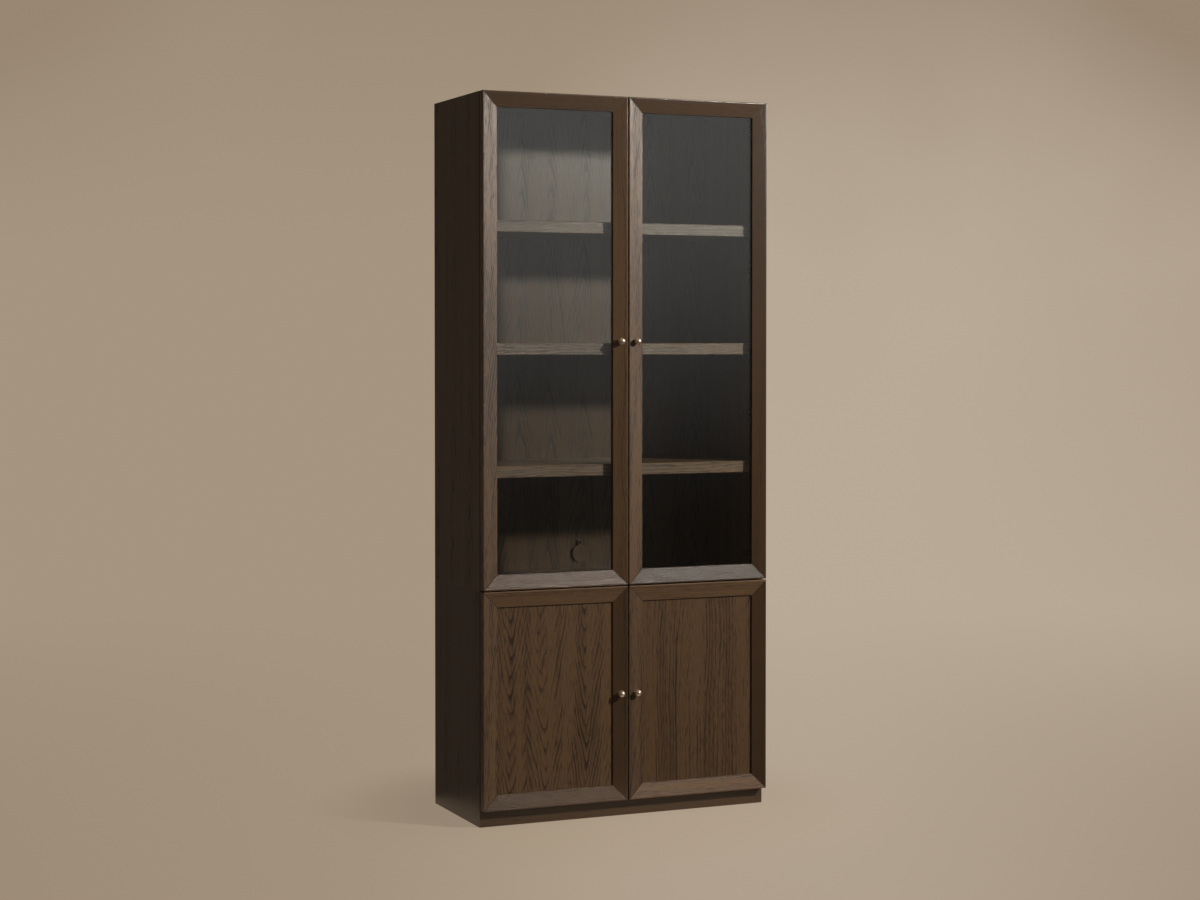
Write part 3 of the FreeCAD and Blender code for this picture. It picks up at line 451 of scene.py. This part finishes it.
# The screws sit above and below the middle of each cup and plate, and one behind the other on
# each arm.
hinges_per_door = {"upper": 4, "lower": 2}
cup_half_height = 0.027
cup_screw_offset = 0.0225
plate_screw_offset = 0.018
plate_screw_depth = 0.017
plate_thickness = 0.0016
arm_height = 0.0086
arm_screw_depths = (0.046, 0.020)
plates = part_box("hinge_plates")
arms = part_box("hinge_arms")
plate_spots = {-1: [], 1: []}
arm_spots = {-1: [], 1: []}
for door, side in door_sides.items():
    low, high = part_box(door + "_hinge_cups")
    count = hinges_per_door[door.split("_")[0]]
    first = low.z + cup_half_height
    step = (high.z - cup_half_height - first) / (count - 1)
    heights = [first + k * step for k in range(count)]
    cup_spots = [Vector(((low.x + high.x) / 2, high.y, height + offset))
                 for height in heights for offset in (-cup_screw_offset, cup_screw_offset)]
    fitting(door + "_cup_screws", screw_heads(cup_spots, (0, 1, 0), radius=0.0032, rise=0.0013),
            nickel, door + "_door")
    plate_spots[side] += [
        Vector((side * (plates[1].x - plate_thickness), plates[0].y + plate_screw_depth,
                height + offset))
        for height in heights for offset in (-plate_screw_offset, plate_screw_offset)]
    arm_spots[side] += [Vector((side * (arms[1].x - arm_height), arms[1].y - depth, height))
                        for height in heights for depth in arm_screw_depths]
for side, hand in ((-1, "left"), (1, "right")):
    inwards = (-side, 0, 0)
    fitting("plate_screws_" + hand, screw_heads(plate_spots[side], inwards, 0.0036, 0.0015),
            nickel, "cabinet")
    fitting("arm_screws_" + hand, screw_heads(arm_spots[side], inwards, 0.0034, 0.0006),
            nickel, "cabinet")


# Eight soft bumpers of clear polyurethane, which have yellowed a little, are stuck to the fronts of
# the case boards where the free edges of the doors close.

def turned(profile, spots, out, sides):
    """A lathe-turned shape: pairs of radius and height along out, at these spots."""
    shape = bmesh.new()
    for spot in spots:
        put = facing_out(spot, out)
        skin(shape, [circle(shape, put, radius, height, sides) for radius, height in profile])
    bmesh.ops.recalc_face_normals(shape, faces=shape.faces)
    return shape


def arc(radius, rise, height, angles):
    """Points of radius and height, from the rim of a dome at 0 degrees to its top at 90."""
    return [(radius * math.cos(math.radians(angle)), height + rise * math.sin(math.radians(angle)))
            for angle in angles]


rubber, place = new_finish("bumper_polyurethane")
bloom = place.node("ShaderNodeTexNoise", {}, {"Vector": place, "Scale": 900.0, "Detail": 2.0})
surface(place.node("ShaderNodeBsdfPrincipled", {}, {
    "Base Color": blend((0.42, 0.38, 0.29, 1.0), (0.30, 0.26, 0.18, 1.0), fade(bloom, 0.4, 0.6)),
    "Roughness": bloom * 0.2 + 0.25}))
bumper_radius = 0.004
bumper_skirt = 0.0006
bumper_rise = 0.0031
bumper = [(0.0, 0.0), (bumper_radius * 0.9, 0.0),
          *arc(bumper_radius, bumper_rise, bumper_skirt, (0, 12, 24, 36, 48, 60, 72, 82)),
          (0.0, bumper_skirt + bumper_rise)]
low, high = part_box("door_bumpers")
spots = [Vector((x, high.y, centre(board).z))
         for x in (low.x + bumper_radius, high.x - bumper_radius)
         for board in ("base_bottom", "base_top", "upper_bottom", "upper_top")]
domes = fitting("door_bumper_domes", turned(bumper, spots, (0, -1, 0), sides=24), rubber,
                "cabinet")
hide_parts("door_bumpers")


# Four small knobs, turned from brass bar and polished by hand: a ball on a short neck, with a round
# foot that stands in a flat seat in the bevel, and a stud screwed into the stile.

brass, place = new_finish("polished_brass")
wear = place.node("ShaderNodeTexNoise", {}, {"Vector": place, "Scale": 260.0, "Detail": 3.0})
lathe_lines = place.node("ShaderNodeTexNoise", {}, {
    "Vector": place.node("ShaderNodeVectorMath", {"operation": "MULTIPLY"}, {
        0: place, 1: (300.0, 5000.0, 300.0)}), "Scale": 1.0, "Detail": 1.0})
surface(place.node("ShaderNodeBsdfPrincipled", {}, {
    "Base Color": blend((0.95, 0.86, 0.74, 1.0), (0.82, 0.70, 0.55, 1.0), fade(wear, 0.42, 0.62)),
    "Metallic": 1.0, "Roughness": wear * 0.14 + 0.33,
    "Normal": place.node("ShaderNodeBump", {}, {
        "Height": lathe_lines, "Strength": 0.05, "Distance": 0.0001})}))
stud_length = 0.018
stud = [(0.0, -stud_length), (0.0016, -stud_length), (0.002, 0.0004 - stud_length), (0.002, 0.0)]
foot = [(0.0062, 0.0), (0.0066, 0.0004), (0.0066, 0.0011), (0.0063, 0.0016)]
neck = [(0.0052, 0.0021), (0.0045, 0.0027), (0.0042, 0.0034), (0.0042, 0.0056)]
ball_radius = 0.011
ball_centre = 0.0162
ball = arc(ball_radius, ball_radius, ball_centre, [6.4 * k - 64 for k in range(24)])
knob = stud + foot + neck + ball + [(0.0, ball_centre + ball_radius)]
for door in door_sides:
    middle = centre(door + "_knob")
    seat = Vector((middle.x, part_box(door + "_knob")[1].y - stud_length, middle.z))
    piece = fitting(door + "_knob_turned", turned(knob, [seat], (0, -1, 0), sides=48), brass,
                    door + "_door")
    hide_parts(door + "_knob")


# The room: a plain tan floor round the cabinet and a backdrop that rises from it in a cove, both
# of cloudy plaster. They glow with their own colour, with a painted pool of the lamp's light and
# painted shade high up, at the sides and towards the front, and only the floor by the plinth takes
# some of the real light and shadow.

# The room isn't square to the cabinet: its right side lies this far round to the front.
room_turn = math.radians(23.5)


def even_glow(place, colour):
    """A surface that shows its own colour, whatever light falls on it."""
    return place.node("ShaderNodeBsdfPrincipled", {}, {
        "Base Color": (0.0, 0.0, 0.0, 1.0), "Specular IOR Level": 0.0, "Roughness": 1.0,
        "Emission Color": colour, "Emission Strength": 1.0})


def plaster(place):
    """Cloudy tan plaster with a painted pool of the lamp's light, and painted shade high up, at the
    sides and towards the front.
    """
    clouds = place.node("ShaderNodeTexNoise", {}, {
        "Vector": place, "Scale": 0.55, "Detail": 3.0, "Roughness": 0.45})
    axes = place.node("ShaderNodeSeparateXYZ", {}, {"Vector": place})
    right = axes.other("X") * math.cos(room_turn) - axes.other("Y") * math.sin(room_turn)
    near = axes.other("X") * -math.sin(room_turn) - axes.other("Y") * math.cos(room_turn)
    up = 1 - fade(axes.other("Z"), 0.2, 3.5)
    # Painted light: a paler pool of plaster where the lamp's light lies.
    lit = (1 - fade(right, -1.1, 1.1)) * fade(right, 2.0, 8.4) * fade(axes.other("Z"), 2.9, 6.2)
    wall = blend((0.378, 0.300, 0.215, 1.0), (0.54, 0.452, 0.362, 1.0),
                 (clouds - 0.5) * up * 0.6 + lit * 0.7 - 0.05)
    # Painted shade: darker high up, at the sides and towards the front.
    high = (1 - fade(axes.other("Z"), 2.0, 6.4)) * ((1 - fade(abs(right), 3.0, 6.3)) * 2.5 + 1.1)
    low = (1 - fade(near, -6.5, 9.5)) * (1 - fade(abs(right), -0.7, 4.1)) * 2.8
    return even_glow(place, blend(wall, (0.315, 0.240, 0.172, 1.0), high + low))


def stage_piece(name, profile, finish):
    """A round piece of the room, about the cabinet's middle."""
    middle = Vector((0, 0, 0))
    piece = mesh_object(name, turned(profile, [middle], (0, 0, 1), sides=96), finish)
    return piece


floor_reach = 3.2
cove_start = 8.0
cove_radius = 3.5
cove = [(cove_start + cove_radius * math.sin(math.radians(angle)),
         cove_radius - cove_radius * math.cos(math.radians(angle))) for angle in range(10, 91, 10)]
paint, place = new_finish("backdrop_paint")
surface(plaster(place))
backdrop = stage_piece("backdrop", [
    (floor_reach, -0.001), (cove_start, 0.0), *cove, (cove_start + cove_radius, 9.0), (0.0, 16.0)],
    paint)
backdrop.visible_diffuse = False
backdrop.visible_shadow = False

paint, place = new_finish("floor_paint")
axes = place.node("ShaderNodeSeparateXYZ", {}, {"Vector": place})
reach = place.maths("SQRT", axes.other("X") * axes.other("X") + axes.other("Y") * axes.other("Y"))
matt = place.node("ShaderNodeBsdfDiffuse", {}, {"Color": (0.84, 0.68, 0.50, 1.0)})
surface(place.node("ShaderNodeMixShader", {}, {
    0: fade(reach, 0.55, 1.05) * 0.28, 1: plaster(place), 2: matt}))
floor = stage_piece("floor", [(0.0, 0.0), (floor_reach, 0.0)], paint)
floor.visible_diffuse = False


# Soft daylight comes from above on the left. From the right and from below there is only a dim,
# even glow.

world = bpy.data.worlds.new("soft_daylight")
bpy.context.scene.world = world
world.use_nodes = True
world.node_tree.nodes.clear()
way = Tone(world.node_tree, None).node("ShaderNodeTexCoord", {}, {}, "Generated")
axes = way.node("ShaderNodeSeparateXYZ", {}, {"Vector": way})
above = blend((0.06, 0.055, 0.05, 1.0), (0.24, 0.215, 0.19, 1.0), fade(axes.other("X"), -0.7, 0.2))
sky = way.node("ShaderNodeBackground", {}, {
    "Color": blend((0.06, 0.05, 0.04, 1.0), above, 1 - fade(axes.other("Z"), -0.15, 0.15)),
    "Strength": 1.0})
output = world.node_tree.nodes.new("ShaderNodeOutputWorld")
world.node_tree.links.new(sky.socket, output.inputs["Surface"])


# A dark curtain hangs in a ring about the cabinet, open at the back right, with one pale strip to
# the right of the front. It shows in the glass, the oil and the metal alone, and throws neither
# light nor shadow.

paint, place = new_finish("studio_curtain")
axes = place.node("ShaderNodeSeparateXYZ", {}, {"Vector": place})
lit = ((1 - fade(axes.other("Z"), 0.38, 3.05)) * (1 - fade(axes.other("X"), 1.2, 1.8))
       * fade(axes.other("X"), 3.6, 4.2) * fade(axes.other("Z"), 3.1, 3.6))
surface(even_glow(place, blend((0.05, 0.042, 0.035, 1.0), (0.72, 0.70, 0.67, 1.0), lit)))
curtain_profile = ((0.62, 0.004), (6.6, 0.004), (6.6, 6.0))
shape = bmesh.new()
folds = [[shape.verts.new((radius * math.sin(math.radians(angle)),
                           -radius * math.cos(math.radians(angle)), height))
          for radius, height in curtain_profile] for angle in range(-180, 101, 10)]
for one, two in zip(folds, folds[1:]):
    for k in range(len(curtain_profile) - 1):
        shape.faces.new((one[k], two[k], two[k + 1], one[k + 1]))
curtain = mesh_object("studio_curtain", shape, paint)
curtain.visible_camera = False
curtain.visible_diffuse = False
curtain.visible_shadow = False


# One round lamp stands in front of the cabinet on the right, higher than its top, and is aimed at
# its middle.

lamp = bpy.data.lights.new("soft_lamp", "AREA")
lamp.shape = "DISK"
lamp.size = 0.42
lamp.energy = 186.0
lamp.color = (1.0, 0.93, 0.85)
lamp_stand = bpy.data.objects.new("soft_lamp", lamp)
lamp_stand.location = (3.05, -3.6, 3.22)
aim = Vector((0.0, -0.2, 1.3)) - lamp_stand.location
lamp_stand.rotation_euler = aim.to_track_quat("-Z", "Y").to_euler()
bpy.context.scene.collection.objects.link(lamp_stand)


# The camera stands in front of the cabinet on the left, at eye height, with a longish lens, and
# looks down by little more than a degree.

lens = bpy.data.cameras.new("camera")
lens.lens = 67.898
lens.sensor_width = 36.0
lens.shift_y = -0.04774
camera = bpy.data.objects.new("camera", lens)
camera.location = (-3.03281, -6.94257, 1.54206)
camera.rotation_euler = (math.radians(88.8), 0.0, math.radians(-23.55))
bpy.context.scene.collection.objects.link(camera)
bpy.context.scene.camera = camera
bpy.context.scene.view_settings.view_transform = "Standard"
